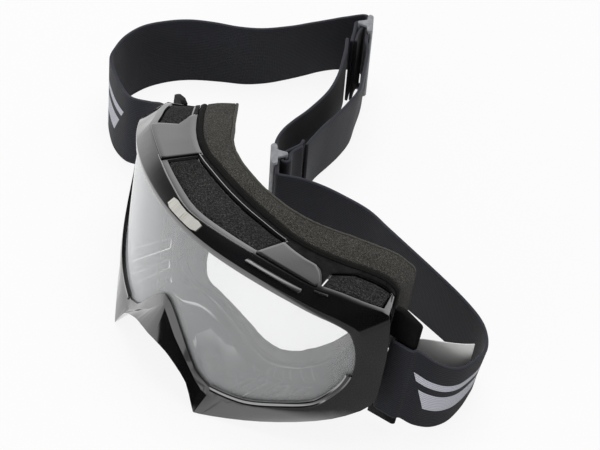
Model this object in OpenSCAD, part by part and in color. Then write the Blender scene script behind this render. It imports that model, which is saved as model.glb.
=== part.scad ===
// Motocross goggles: a moulded frame with a cylindrical lens, layered face foam,
// vent foams, two clip-on outriggers and a two-part elastic strap with slide adjusters.
// Millimetres, +Z up, -Y is the front of the lens, +X is the wearer's left.

/* [Lens] */
// Radius that the lens is bent to
lens_r = 114; // [110:1:122]
// Thickness of the lens sheet
lens_t = 1; // [0.8:0.1:1.3]
// How far the lens edge reaches into its groove
lens_bite = 2.2; // [1.6:0.1:2.6]
// Play between the lens and its groove
lens_play = 0.3; // [0.2:0.05:0.4]

/* [Frame] */
// Width of the frame across its side walls
frame_w = 191; // [184:1:198]
// Height of the frame from the cheek corners to the brow ridge
frame_h = 95; // [92:1:98]
// Thickness of the wall of the moulded frame
wall_t = 2; // [1.6:0.1:2.4]
// Height of the front lip over the lens
lip_t = 1.5; // [1.2:0.1:1.8]
// Thickness of the rear flange that carries the foam
flange_t = 2; // [1.6:0.1:2.6]
// Backward lean of the goggles as they stand
lean = 8; // [7:0.5:9]

/* [Foam] */
// Thickness of the face foam at the brow
foam_brow_t = 12; // [11:0.5:14]
// Thickness of the face foam at the nose
foam_nose_t = 7; // [6.5:0.5:9]
// Thickness of the stiff base layer of the face foam
foam_base_t = 3; // [2.5:0.5:4]
// Thickness of the fleece on the face foam
fleece_t = 1.5; // [1:0.1:2]
// Depth of the vent foams
vent_foam_t = 5; // [4:0.5:7]
// Gap that a soft piece keeps to its neighbours
soft_gap = 0.3; // [0.25:0.05:0.4]

/* [Strap] */
// Width of the elastic strap
strap_w = 43; // [41:0.5:44]
// Thickness of the elastic strap
strap_t = 1.8; // [1.4:0.1:2]

/* [Outriggers] */
// Thickness of the outrigger plate
rigger_t = 3.2; // [2.8:0.1:3.6]
// Width of the bar that the strap wraps
rigger_bar_w = 9; // [8:0.5:10]
// Play above and below the strap in the outrigger slot
slot_play = 0.8; // [0.6:0.1:1.2]

/* [Adjusters] */
// Length of a strap adjuster along the strap
adjuster_l = 17; // [15.5:0.5:18.5]
// Width of each adjuster bar along the strap
adjuster_bar = 2.6; // [2.2:0.1:3]
// Play between the strap and the adjuster
adjuster_play = 0.3; // [0.3:0.05:0.5]
// Height of each adjuster end rail
adjuster_rail = 2; // [1.6:0.1:2.4]

/* [Hidden] */

// Rails of the frame for the +X half, from the brow centre round to the nose.
// The drawn frame is 191 wide and 95 high; the rails follow the chosen sizes.
kx = frame_w / 191;
kz = frame_h / 95;
// Steps between two rail stations
steps = 3;

// Edge of the lens opening: x, z
opening_rail = [[0, 34.8], [18, 34.9], [34, 34.7], [48, 33.6], [61, 31.4], [71.2, 28.6],
    [78.2, 26.6], [83.4, 23], [86.4, 13], [87.2, 1], [85, -11], [78.4, -23.4],
    [67, -30.6], [51, -38], [35, -39.6], [25, -34.5], [14.5, -21.5], [5, -10.5], [0, -8]];
// Crest of the frame: x, y from the lens arc, z
crest_rail = [[0, 3.4, 41.8], [19, 5.4, 41.8], [36, 6.5, 41.7], [50, 6.6, 40.5],
    [64.9, 5.3, 38.8], [72, 7.8, 36.6], [79.8, 9.2, 33.8], [87.5, 11.7, 29.6], [92.5, 4, 17],
    [94.5, 0.5, 1], [95.5, -4, -17], [84.6, -1.6, -30.5], [66.8, -1.6, -41.2], [48.2, -4.6, -49.1],
    [34.3, -8.7, -53], [26.5, -7.5, -39.5], [15, -8, -31.5], [6, -9, -28.6], [0, -9.5, -28]];
// Rear edge of the wall where it meets the flange: x, z
rear_rail = [[0, 38.8], [18, 38.8], [34, 38.6], [47, 38.2], [65, 36.6], [70, 35.4],
    [74, 33.4], [77, 28.5], [77, 15], [77, 0], [75.5, -15], [70, -28], [60, -37],
    [47, -43], [36, -44.2], [26, -43], [16, -38.4], [7, -36], [0, -35]];
// Eye opening through the flange: x, z
eye_rail = [[0, 30], [17, 30], [33, 30], [45, 29.5], [55, 28], [61, 25], [65, 20],
    [67.5, 13], [68.5, 6], [68.5, -2], [66.5, -11], [61, -21], [53, -29], [44, -34],
    [34, -36.4], [25, -35.6], [16, -32.4], [8, -30.6], [0, -29.8]];
// Outer edge of the face foam on its face side: x, z
foam_rail = [[0, 42], [18, 42], [34, 42], [47, 41.4], [58, 40.4], [68, 39], [76.5, 36.3],
    [82.5, 30], [83.5, 15], [83.5, 0], [81, -15], [73.5, -29], [61, -38.2],
    [47, -43.6], [36, -44.8], [26, -43.6], [16, -39], [7, -36.6], [0, -35.6]];
// How far the rail keeps its run at each station: 0 is a sharp corner
softness = [1, 1, 0.6, 1, 0.5, 1, 1, 0.7, 1, 1, 0.8, 0.8, 1, 1, 0.15, 0.8, 1, 1, 1];
// Station of the notch in the top wall, and the last one before the nose
notch_station = 4;
nose_station = 14;
// Depth of the flange behind the lens arc at some widths: x, depth
face_line = [[0, 34], [20, 33.2], [36, 30.8], [48, 30.9], [60, 32.9], [70, 35], [80, 35.7], [92, 33.3]];
// Growth of the face foam with the width: x, extra thickness
foam_growth = [[0, 0], [20, 1], [36, 4], [56, 7], [70, 7], [80, 7], [92, 7]];

// Small helpers
function lerp(a, b, t) = a + (b - a) * t;
function unit(v) = v / max(norm(v), 1e-6);
function arc_y(x) = lens_r - sqrt(lens_r * lens_r - x * x);
function along(line, x, i = 0) =
    (i >= len(line) - 2 || x <= line[i + 1][0])
    ? lerp(line[i][1], line[i + 1][1], (x - line[i][0]) / (line[i + 1][0] - line[i][0]))
    : along(line, x, i + 1);
// Smooth value of a line of points, as the mean over a short span
function smooth_along(line, x, span = 6) =
    (along(line, abs(x - span)) + 2 * along(line, abs(x)) + along(line, abs(x + span))) / 4;
function face_y(x) = arc_y(x) + smooth_along(face_line, abs(x) / kx);
function face_slope(x) = (face_y(abs(x) + 1) - face_y(abs(x) - 1)) / 2 * sign(x);

// Closed rail round the whole frame, sampled smoothly
function mirrored(rail) = [
    for (p = rail) p,
    for (i = [len(rail) - 2 : -1 : 1]) [for (j = [0 : len(rail[i]) - 1]) (j == 0 ? -1 : 1) * rail[i][j]]];
function scaled(rail) = [for (p = rail) len(p) == 2
    ? [p[0] * kx, p[1] * kz] : [p[0] * kx, p[1], p[2] * kz]];
function hermite(p0, p1, m0, m1, t) =
    (2 * t * t * t - 3 * t * t + 1) * p0 + (t * t * t - 2 * t * t + t) * m0
    + (3 * t * t - 2 * t * t * t) * p1 + (t * t * t - t * t) * m1;
soft_ring = [for (s = softness) s, for (i = [len(softness) - 2 : -1 : 1]) softness[i]];
function ring(rail) = let (p = mirrored(scaled(rail)), n = len(p)) [
    for (i = [0 : n - 1]) for (s = [0 : steps - 1])
    let (a = p[(i + n - 1) % n], b = p[i], c = p[(i + 1) % n], d = p[(i + 2) % n])
    hermite(b, c, (c - a) / 2 * soft_ring[i], (d - b) / 2 * soft_ring[(i + 1) % n], s / steps)];

opening = ring(opening_rail);
crest = [for (p = ring(crest_rail)) [p[0], arc_y(p[0]) + p[1], p[2]]];
rear = ring(rear_rail);
eye = ring(eye_rail);
foam_outer = ring(foam_rail);
count = len(opening);
half = count / 2;

// Outward direction of the opening edge in the X-Z plane
function outward(outline, i) = let (d = unit(outline[(i + 1) % count] - outline[(i + count - 1) % count]))
    [-d[1], d[0]];
function grown(outline, i, d) = outline[i] + d * outward(outline, i);
function inward(i, d) = let (n = outward(opening, i)) [-d * n[0], 0, -d * n[1]];

// Turns the upright goggles to their lean and stands the part with its box centred
base_z = -52.3;
shift = [36.25, -100.75, -base_z];
module standing() { translate(shift) rotate([-lean, 0, 0]) children(); }
function stood(p) = shift
    + [p[0], p[1] * cos(lean) + p[2] * sin(lean), -p[1] * sin(lean) + p[2] * cos(lean)];

// Section of the frame at each station: lip, bevel, crest, wall, flange and lens groove
groove_d = lens_bite + 0.4;
window_rows = [0.16, 0.5, 0.86];
bevel_top = [3.4, 0];
bevel_low = [5, 1.2];
notch_depth = 5;
function low(i) = (1 - cos(360 * i / count)) / 2;
// Point d behind the lens face, measured square to the bent sheet
function on_arc(p, d) = [p[0], arc_y(p[0]) + d / sqrt(1 - pow(p[0] / lens_r, 2)), p[1]];
function on_face(p) = [p[0], face_y(p[0]), p[1]];
function notch_pull(i) = let (d = abs(min(i, count - i) / steps - notch_station))
    max(0, 1 - d) * notch_depth;
// Over the nose the wall starts behind the lens edge, and the flank hangs in front of it
function over_nose(i) = min(1, max(0, (min(i, count - i) / steps - nose_station) / 2));
function wall_start(i) = lerp(crest[i],
    on_arc(grown(opening, i, groove_d + wall_t), lens_t + lens_play + wall_t), over_nose(i));
function wall_point(i, row) = let (p = lerp(wall_start(i), on_face(rear[i]), window_rows[row]),
        pull = row == 1 ? notch_pull(i) : 0)
    p - [sign(p[0]) * pull, 0, 0];
function section(i) = let (
        reach = norm([crest[i][0] - opening[i][0], crest[i][2] - opening[i][1]]),
        mid = grown(opening, i, min(lerp(bevel_top[0], bevel_low[0], low(i)), reach / 2)),
        deep = grown(opening, i, groove_d), back = grown(opening, i, 0.8),
        in = inward(i, wall_t), lip = -lens_play - lip_t * 0.6) [
    on_arc(opening[i], lip),
    on_arc(mid, lip - lerp(bevel_top[1], bevel_low[1], low(i))),
    crest[i],
    wall_point(i, 0), wall_point(i, 1), wall_point(i, 2),
    on_face(rear[i]),
    on_face(eye[i]),
    on_face(eye[i]) - [0, flange_t, 0],
    on_face(rear[i]) + in - [0, flange_t, 0],
    wall_point(i, 2) + in, wall_point(i, 1) + in, wall_point(i, 0) + in,
    on_arc(back, lens_t + lens_play + wall_t),
    on_arc(back, lens_t + lens_play),
    on_arc(deep, lens_t + lens_play),
    on_arc(deep, -lens_play),
    on_arc(opening[i], -lens_play)];
sections = [for (i = [0 : count - 1]) section(i)];

// Windows through the wall: first station, last station, outer rows, counted round the frame
brow_end = 2 * steps;
side_window = [4 * steps, 6 * steps + 2];
low_windows = [for (k = [0 : 2]) [12 * steps + 2 * k, 12 * steps + 1 + 2 * k]];
function flipped(w) = [count - w[1], count - w[0]];
windows = [[-brow_end, brow_end], side_window, flipped(side_window),
    each low_windows, each [for (w = low_windows) flipped(w)]];
first_row = 3;
last_row = 5;
row_sum = 15;
function in_window(i) = len([for (w = windows) if ((i >= w[0] && i < w[1])
    || (i - count >= w[0] && i - count < w[1])) 1]) > 0;
function in_rows(j) = (j >= first_row && j < last_row)
    || (j >= row_sum - last_row && j < row_sum - first_row);
function quad(a, b, c, d, p) = norm(p[a] - p[c]) <= norm(p[b] - p[d])
    ? [[a, b, c], [a, c, d]] : [[b, c, d], [b, d, a]];
function at(i, j) = ((i + count) % count) * len(sections[0]) + j;
frame_points = [for (s = sections) each s];
frame_faces = let (m = len(sections[0]), p = frame_points) [
    for (i = [0 : count - 1]) for (j = [0 : m - 1]) if (!(in_window(i) && in_rows(j)))
        each quad(at(i, j), at(i, (j + 1) % m), at(i + 1, (j + 1) % m), at(i + 1, j), p),
    for (w = windows) each [
        for (i = [w[0] : w[1] - 1]) each concat(
            quad(at(i + 1, first_row), at(i, first_row), at(i, row_sum - first_row),
                at(i + 1, row_sum - first_row), p),
            quad(at(i, last_row), at(i + 1, last_row), at(i + 1, row_sum - last_row),
                at(i, row_sum - last_row), p)),
        for (j = [first_row : last_row - 1]) each concat(
            quad(at(w[0], j), at(w[0], j + 1), at(w[0], row_sum - j - 1), at(w[0], row_sum - j), p),
            quad(at(w[1], j + 1), at(w[1], j), at(w[1], row_sum - j), at(w[1], row_sum - j - 1), p))]];

module frame() {
    color("#141416") standing() polyhedron(frame_points, frame_faces);
}

// Closed solid from rows of equal sections; a loop closes on itself, a run gets end caps
function cap(first, m, p) = [for (j = [0 : m / 2 - 2])
    each quad(first + j, first + j + 1, first + m - 2 - j, first + m - 1 - j, p)];
function turned(faces) = [for (f = faces) [f[2], f[1], f[0]]];
module lofted(s, loop = false) {
    n = len(s);
    m = len(s[0]);
    p = [for (a = s) each a];
    polyhedron(p, concat(
        [for (i = [0 : n - (loop ? 1 : 2)]) for (j = [0 : m - 1]) let (k = (i + 1) % n)
            each quad(i * m + j, i * m + (j + 1) % m, k * m + (j + 1) % m, k * m + j, p)],
        loop ? [] : concat(turned(cap(0, m, p)), cap((n - 1) * m, m, p))));
}

// Lens: a bent sheet cut to the groove
module lens() {
    outline = [for (i = [0 : count - 1]) grown(opening, i, lens_bite)];
    reach = frame_h;
    color("#c8ccce", 0.4) standing() intersection() {
        translate([0, lens_r, -reach]) difference() {
            cylinder(r = lens_r, h = 2 * reach, $fn = 240);
            translate([0, 0, -1]) cylinder(r = lens_r - lens_t, h = 2 * reach + 2, $fn = 240);
        }
        translate([0, reach, 0]) rotate([90, 0, 0]) linear_extrude(2 * reach) polygon(outline);
    }
}

// Plate on the brow facet, between the bevel and the crest
badge_half = 11;
badge_t = 0.9;
badge_rows = [0.12, 0.9];
badge_seat = 0.2;
function on_facet(x, f) = let (k = abs(x) / opening_rail[1][0] * steps, i = floor(k), t = k - i,
        a = lerp(sections[i][1], sections[i + 1][1], t),
        b = lerp(sections[i][2], sections[i + 1][2], t), p = lerp(a, b, f))
    [x, p[1], p[2]];
module centre_badge() {
    lean_back = [0, -0.78, 0.62];
    span = [for (k = [-4 : 4]) k / 4];
    color("#b9b4a6") standing() lofted([for (k = span)
        let (x = k * badge_half, cut = abs(k) == 1 ? 0.12 : 0,
            a = on_facet(x, badge_rows[0] + cut), b = on_facet(x, badge_rows[1] - cut))
        [a + lean_back * badge_t, b + lean_back * badge_t,
            b + lean_back * badge_seat, a + lean_back * badge_seat]]);
}

// Foam plug that fills a window, level with the wall and deeper than it
plug_sink = 0.5;
plug_gap = 1.6 * soft_gap;
function plug_row(i, w, depth) = let (n = inward(i, 1), e = i == w[0] ? 1 : i == w[1] ? -1 : 0,
        p = [for (j = [0 : 2]) let (a = wall_point((i + count) % count, j),
                b = wall_point((i + e + count) % count, j)) a + plug_gap * unit(b - a) * abs(e)],
        q = [p[0] + plug_gap * unit(p[1] - p[0]), p[1], p[2] + plug_gap * unit(p[1] - p[2])])
    [for (a = q) a + n * plug_sink, for (j = [2 : -1 : 0]) q[j] + n * depth];
module vent_plug(w, depth = vent_foam_t) {
    ends = [(w[0] + count) % count, (w[1] + count) % count];
    standing() lofted([for (i = [w[0] : w[1]]) plug_row((i + count) % count, ends, depth)]);
}
module vent_foam_centre() { color("#303030") vent_plug(windows[0]); }
module vent_foam_left() { color("#303030") vent_plug(windows[1]); }
module vent_foam_right() { color("#303030") vent_plug(windows[2]); }
module vent_foam_lower_left() { color("#303030") for (w = low_windows) vent_plug(w, wall_t); }
module vent_foam_lower_right() { color("#303030") for (w = low_windows) vent_plug(flipped(w), wall_t); }

// Face foam in three layers, each a ring whose depth is counted square to the flange
foam_inner_step = 0.4;
foam_lap = 0.6;
function foam_depth(i) = foam_brow_t + along(foam_growth, abs(foam_outer[i][0]) / kx)
    - (foam_brow_t - foam_nose_t) * pow(low(i), 2);
function off_face(p, t) = let (a = atan(face_slope(p[0])))
    [p[0] - sin(a) * t, face_y(p[0]) + cos(a) * t, p[1]];
// Outer edge of the foam at depth t: it flares from the rear edge of the wall to the foam rail
function foam_edge(i, t, d) = lerp(grown(rear, i, foam_lap), foam_outer[i], t / d);
function foam_section(i, t0, t1, r0, r1, d) = let (no = outward(foam_outer, i), ni = outward(eye, i),
        o0 = foam_edge(i, t0, d), o1 = foam_edge(i, t1, d), e = eye[i] + ni * foam_inner_step) [
    off_face(o0 - no * r0, t0), off_face(o0, t0 + r0), off_face(o1, t1 - r1), off_face(o1 - no * r1, t1),
    off_face(e + ni * r1, t1), off_face(e, t1 - r1), off_face(e, t0 + r0), off_face(e + ni * r0, t0)];
module foam_layer(f0, f1, r0, r1) {
    standing() lofted([for (i = [0 : count - 1]) let (d = foam_depth(i))
        foam_section(i, f0[0] + f0[1] * d, f1[0] + f1[1] * d, r0, r1, d)], loop = true);
}
module face_foam_base() {
    color("#262626") foam_layer([soft_gap, 0], [soft_gap + foam_base_t, 0], 0.3, 0.3);
}
module face_foam() {
    color("#55524c") foam_layer([2 * soft_gap + foam_base_t, 0], [-fleece_t - soft_gap, 1], 0.3, 0.6);
}
module face_fleece() { color("#6a665e") foam_layer([-fleece_t, 1], [0, 1], 0.5, 0.7); }

// Outrigger plate seen from above: it runs out from the side wall at an angle
// The plate's arms start on the side wall, this share of the way back from the crest
rigger_seat = 0.57;
rigger_station = 9 * steps;
rigger_turn = 20;
rigger_len = 12;
rigger_z = [-36, 28.5];
corner_cut = [40, 40, 22];
slot_low = -31.2;
slot_w = 5.2;
arm_start = rigger_len - rigger_bar_w - slot_w;
rigger_foot = lerp(crest[rigger_station], on_face(rear[rigger_station]), rigger_seat);
rigger_root = [rigger_foot[0] - arm_start * cos(rigger_turn),
    rigger_foot[1] - arm_start * sin(rigger_turn)];
function rigger_at(u, v) = rigger_root + [u * cos(rigger_turn) - v * sin(rigger_turn),
    u * sin(rigger_turn) + v * cos(rigger_turn)];
module rigger_plan(u0, u1) {
    translate(rigger_root) rotate(rigger_turn) hull() {
        translate([u0, 0]) square([0.1, rigger_t]);
        translate([u1 - rigger_t / 2, rigger_t / 2]) circle(d = rigger_t, $fn = 32);
    }
}
module outrigger() {
    slot_top = slot_low + strap_w + 2 * slot_play;
    bar_0 = rigger_len - rigger_bar_w;
    color("#101012") difference() {
        union() {
            translate([0, 0, rigger_z[0]]) linear_extrude(rigger_z[1] - rigger_z[0])
                rigger_plan(bar_0, rigger_len);
            for (z = [[rigger_z[0], slot_low], [slot_top, rigger_z[1]]])
                translate([0, 0, z[0]]) linear_extrude(z[1] - z[0])
                    rigger_plan(arm_start, rigger_len);
        }
        // Sloping cut across the upper outer corner
        translate([rigger_root[0] + rigger_len + 3, rigger_root[1], rigger_z[1] + 6]) rotate([0, 24, 0])
            cube(corner_cut, center = true);
    }
}
module outrigger_left() { standing() outrigger(); }
module outrigger_right() { standing() mirror([1, 0, 0]) outrigger(); }

// Strap run: lower edge x, y, z and how far the upper edge leans over it in x, y
function slot_run(u, v, side) = let (p = rigger_at(u, v), z = slot_low + slot_play,
        q = stood([p[0], p[1], z]) - shift)
    [side * q[0], q[1], q[2], 0, strap_w * sin(lean)];
function bend(p, i, t) = let (n = len(p) - 1, a = p[max(i - 1, 0)], b = p[i], c = p[min(i + 1, n)],
        d = p[min(i + 2, n)]) hermite(b, c, (c - a) / 2, (d - b) / 2, t);
function smooth(p, k) = concat([for (i = [0 : len(p) - 2]) for (s = [0 : k - 1]) bend(p, i, s / k)],
    [p[len(p) - 1]]);
function band_section(run, i, w, t) = let (
        a = run[max(i - 1, 0)], b = run[min(i + 1, len(run) - 1)], p = run[i],
        up = unit([p[3], p[4], sqrt(strap_w * strap_w - p[3] * p[3] - p[4] * p[4])]),
        dir = unit([b[0] - a[0], b[1] - a[1], 0]), side = unit(cross(up, dir)) * t / 2,
        low_edge = [p[0], p[1], max(p[2], base_z + abs(side[2]))])
    [low_edge + side, low_edge - side, low_edge - side + up * w, low_edge + side + up * w];
module band(run, w = strap_w, t = strap_t) {
    translate(shift) lofted([for (i = [0 : len(run) - 1]) band_section(run, i, w, t)]);
}

// Height of the strap's lower edge where it passes the adjusters, clear of the table
table_gap = 0.2;
hung_z = base_z + adjuster_rail + adjuster_play + table_gap;
// Adjusters: centre x, y and turn of the strap's straight run through them
left_adjuster = [-50, 98, -35.5];
right_adjuster = [-111.5, 206.8, 138.8];
adjuster_travel = 4;
straight = adjuster_l / 2 + adjuster_travel;
function by(adj, u, v) = [adj[0] + u * cos(adj[2]) - v * sin(adj[2]),
    adj[1] + u * sin(adj[2]) + v * cos(adj[2])];
function through(adj, u) = let (p = by(adj, u, 0)) [p[0], p[1], hung_z, 0, 0];
strap_off = strap_t / 2 + 0.5;
// How far off the adjuster's middle line each strap laps the sewn end
right_lap = 8.7 + strap_t + soft_gap;
left_lap = 13.6 + strap_t;
function run_from_slot(side) = [
    slot_run(10, rigger_t + strap_off, side), slot_run(5, rigger_t + strap_off, side),
    slot_run(1.2, rigger_t + strap_off - 0.2, side), slot_run(0.4, rigger_t / 2, side),
    slot_run(1.2, -strap_off + 0.2, side), slot_run(5, -strap_off, side),
    slot_run(rigger_len - 1, -strap_off, side), slot_run(rigger_len + strap_off, 0.6, side)];
// The first points of each strap are counted from the root of its outrigger
function from_root(side, run) = [for (p = run)
    [side * rigger_root[0] + p[0], rigger_root[1] + p[1], p[2], p[3], p[4]]];
left_run = concat(run_from_slot(1), from_root(1, [
    [15.9, 6, -44.5, 2.5, 6], [18.4, 15, -50, 3.5, 4.5], [18.9, 25, base_z, 4.5, 1.5],
    [16.9, 34, base_z, 6, 0], [13.4, 42.5, base_z, 7.5, -1.5], [8.9, 50.5, base_z, 6, -3.5]]), [
    [87, 116.5, base_z, 5, -5], [74, 118, base_z, 3, -4.5], [56, 117.5, base_z, 1, -3.5],
    [38, 116.5, base_z, 0, -2.5], [20, 115.5, base_z, 0, -1.5], [6, 114, base_z, 0, 0],
    [-8, 110.5, base_z, 0, 0], [-20, 105.5, -51.5, 0, 0], [-30, 98.5, -50, 0, 0],
    [-36.5, 92.6, hung_z, 0, 0]],
    [for (u = [straight, straight / 2, 0, -straight / 2, -straight]) through(left_adjuster, u)], [
    [-66, 113, hung_z, 1, 0], [-69, 122, hung_z, 1, 0], [-73, 135, hung_z, 2, 0],
    [-79, 152, hung_z, 2, 0], [-87, 165, hung_z, 2, 0], [-95.5, 176, hung_z, 1, 0]],
    [for (u = [-20, -13]) let (p = by(right_adjuster, u, right_lap)) [p[0], p[1], hung_z, 0, 0]]);
right_run = concat(run_from_slot(-1), from_root(-1, [
    [-16.4, 1.5, -41, -1, 6.5], [-25.4, 2, -44, -1, 6], [-34.4, 1, -48, 0, 5.5],
    [-45.4, -2, -51.3, -1, 4.5]]), [
    [-145, 59, base_z, -2, 5.5], [-158, 64, base_z, -2, 4.5], [-167, 69.5, base_z, -1, 2.5],
    [-173.5, 77, base_z, 0, 1], [-178.5, 88, base_z, -1.5, 1], [-180.5, 102, base_z, -2, 0.5],
    [-178, 116, base_z, -1, 0], [-172, 128.5, base_z, -1, -1], [-162, 141, base_z, -2, -3.5],
    [-152, 152, base_z, -1, -5], [-146, 163, base_z, 2, -5], [-142.5, 174, base_z, 5, -2],
    [-139.8, 185, base_z, 6, -1], [-137.5, 196, base_z, 7, -1], [-133.8, 205.5, base_z, 6, -2],
    [-128.8, 211, -51.5, 4, -2], [-123.5, 213.8, -50.5, 2, -1]],
    [for (u = [0.5, 0.25, 0, -0.4, -0.8]) through(right_adjuster, u * adjuster_l + sign(u) * 0.5)], [
    [-97.5, 194.5, hung_z, 2, 0], [-91.5, 188, hung_z, 3, 0], [-83.5, 178, hung_z, 4.5, 0],
    [-75, 167.5, hung_z, 5.5, 0], [-69.5, 156, hung_z, 5.5, 0], [-66, 145.5, hung_z, 6, 0],
    [-62.5, 134, hung_z, 6, 0], [-57, 124, hung_z, 4.5, 0]],
    [let (p = by(left_adjuster, -9.8, left_lap)) [p[0], p[1], hung_z, 0, 0]]);
strap_steps = 2;
module strap_left() { color("#22242a") band(smooth(left_run, strap_steps)); }
module strap_right() { color("#22242a") band(smooth(right_run, strap_steps)); }

// Sewn strap end: out from the seam, round the middle bar of the adjuster and back
module sewn_end(adj, path) {
    run = [for (p = path) let (q = by(adj, p[0], p[1])) [q[0], q[1], hung_z, 0, 0]];
    color("#2a2c32") band(smooth(run, strap_steps));
}
wrap = [[-0.5, 2.5], [2.4, 2.6], [3.7, 4.6], [2.4, 6.5], [-0.5, 6.7]];
module strap_right_end() {
    sewn_end(left_adjuster, concat([[-10.6, 12.4], [-7.7, 8.5], [-4.4, 4.8], [-2.4, 3]], wrap,
        [[-3.2, 7.4], [-6, 9.7], [-8.8, 13.4]]));
}
module strap_left_end() {
    sewn_end(right_adjuster, concat([[-15, 5.8], [-9, 5.1], [-4.6, 3.9], [-2.4, 2.9]], wrap,
        [[-5, 7], [-10, 7.6], [-15.5, 8.2]]));
}

// Rectangle from corner a to corner b with round corners
module rounded_plan(a, b, r) {
    translate([a[0] + r, a[1]]) square([b[0] - a[0] - 2 * r, b[1] - a[1]]);
    translate([a[0], a[1] + r]) square([b[0] - a[0], b[1] - a[1] - 2 * r]);
    for (x = [a[0] + r, b[0] - r]) for (y = [a[1] + r, b[1] - r]) translate([x, y]) circle(r, $fn = 24);
}

// Adjuster: two end rails, two outer bars on one side of the strap and a middle bar on the other
bar_h = 2;
rail_round = 1.2;
middle_v = 3.65;
module adjuster(adj) {
    rail = adjuster_rail;
    gap = strap_t / 2 + adjuster_play;
    inner_h = strap_w + 2 * adjuster_play;
    depth = [-gap - bar_h, middle_v + bar_h];
    color("#7b7d7f") translate(shift) translate([adj[0], adj[1], hung_z - adjuster_play]) rotate(adj[2]) {
        for (z = [-rail, inner_h]) translate([0, 0, z]) linear_extrude(rail)
            rounded_plan([-adjuster_l / 2, depth[0]], [adjuster_l / 2, depth[1]], rail_round);
        for (u = [-adjuster_l / 2, adjuster_l / 2 - adjuster_bar]) translate([u, depth[0], -rail / 2])
            cube([adjuster_bar, bar_h, inner_h + rail]);
        translate([-adjuster_bar / 2, middle_v, -rail / 2]) cube([adjuster_bar, bar_h, inner_h + rail]);
    }
}
module adjuster_left() { adjuster(left_adjuster); }
module adjuster_right() { adjuster(right_adjuster); }

// Care label: a thin flap sewn inside the left strap, behind the outrigger
label_w = 30;
label_t = 0.5;
label_run = from_root(1, [[6.9, 14, -32, 0, 4], [11.9, 20, -32.5, 0, 3], [16.4, 27, -33, 1, 2],
    [18.7, 33, -33.5, 2, 1]]);
module care_label() { color("#e8e8e6") band(smooth(label_run, strap_steps), label_w, label_t); }

frame();
lens();
centre_badge();
outrigger_left();
outrigger_right();
face_foam_base();
face_foam();
face_fleece();
vent_foam_centre();
vent_foam_left();
vent_foam_right();
vent_foam_lower_left();
vent_foam_lower_right();
strap_left();
strap_right();
strap_left_end();
strap_right_end();
adjuster_left();
adjuster_right();
care_label();
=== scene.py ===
# Looks of the motocross goggles: materials on the rigid pieces, full forms for the foams, the webbing
# and the slides, and thin mouldings on the frame. The rails and the strap runs repeat those of the
# part's source at finer steps. Their lengths are in millimetres, and those of materials, modifiers
# and lamps in metres. A station u counts round the frame: 0 is the brow centre, 9 the wearer's left
# side, 18 the nose and 27 the right side.
import math
import bmesh
import bpy
import numpy as np
from mathutils import Matrix, Vector, noise

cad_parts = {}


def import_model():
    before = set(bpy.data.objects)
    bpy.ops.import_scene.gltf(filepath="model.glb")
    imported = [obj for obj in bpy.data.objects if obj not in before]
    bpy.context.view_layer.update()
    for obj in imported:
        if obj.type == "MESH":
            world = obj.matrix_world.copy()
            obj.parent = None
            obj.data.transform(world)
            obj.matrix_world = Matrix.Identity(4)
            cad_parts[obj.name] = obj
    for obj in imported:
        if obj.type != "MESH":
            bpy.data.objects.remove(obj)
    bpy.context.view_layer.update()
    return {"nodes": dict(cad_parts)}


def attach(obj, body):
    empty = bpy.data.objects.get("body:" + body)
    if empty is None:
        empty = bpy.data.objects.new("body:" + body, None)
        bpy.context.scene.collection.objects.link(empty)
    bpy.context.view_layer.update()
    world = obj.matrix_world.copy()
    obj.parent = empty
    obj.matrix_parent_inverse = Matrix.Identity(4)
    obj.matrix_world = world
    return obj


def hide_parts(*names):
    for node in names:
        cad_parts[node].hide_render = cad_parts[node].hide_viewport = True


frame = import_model()
nodes = frame["nodes"]
scene = bpy.context.scene

# Camera, fitted to the photograph
# Angles in degrees, places and distance in millimetres, focal length in pixels of the photograph
SHIFT = np.array([36.25, -100.75, 52.3])
CAM_AZIMUTH, CAM_ELEVATION, CAM_ROLL = 50.0, 43.9, 4.4
CAM_DISTANCE, CAM_FOCAL = 709.6, 1554.3
CAM_TARGET = np.array([24.7, 54.1, 27.9])
PHOTO_WIDTH, SENSOR_WIDTH = 600, 36.0


def camera():
    azimuth, elevation, roll = (math.radians(a) for a in (CAM_AZIMUTH, CAM_ELEVATION, CAM_ROLL))
    flat = math.cos(elevation)
    back = np.array([flat * math.sin(azimuth), -flat * math.cos(azimuth), math.sin(elevation)])
    right = np.array([math.cos(azimuth), math.sin(azimuth), 0.0])
    up = np.cross(back, right)
    right_axis = math.cos(roll) * right + math.sin(roll) * up
    up_axis = -math.sin(roll) * right + math.cos(roll) * up
    at = (CAM_TARGET + SHIFT + back * CAM_DISTANCE) / 1000
    data = bpy.data.cameras.new("camera")
    data.sensor_width = SENSOR_WIDTH
    data.lens = CAM_FOCAL * SENSOR_WIDTH / PHOTO_WIDTH
    data.clip_start, data.clip_end = 0.05, 20
    obj = bpy.data.objects.new("camera", data)
    axes = (right_axis, up_axis, back, at)
    obj.matrix_world = Matrix([[axis[k] for axis in axes] for k in range(3)] + [[0, 0, 0, 1]])
    scene.collection.objects.link(obj)
    scene.camera = obj


camera()


# Materials
def srgb(*rgb):
    """Linear colour of an sRGB one that is written 0 to 255."""
    share = [c / 255 for c in rgb]
    return (*(c / 12.92 if c <= 0.04045 else ((c + 0.055) / 1.055) ** 2.4 for c in share), 1.0)


# Painted reflection on the lens; pitches of the weave; plain stripes by their places across and along a
# strap
REFLECTION_VEIL_POWER, REFLECTION_VEIL_LEAST = 4, 0.18
RIB_PITCH, PICK_PITCH = 0.00115, 0.0009
STRIPES = ((0.0125, 0.0225), (0.0265, 0.0305))
STRIPE_SLANT, LEFT_PRINT, RIGHT_PRINT = 0.55, (0.045, 0.105), (0.085, 0.16)
STRIPE_TONES = srgb(176, 177, 188), srgb(216, 217, 226)
WEB_TONES = srgb(19, 20, 25), srgb(30, 31, 38), srgb(66, 67, 75)


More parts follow.
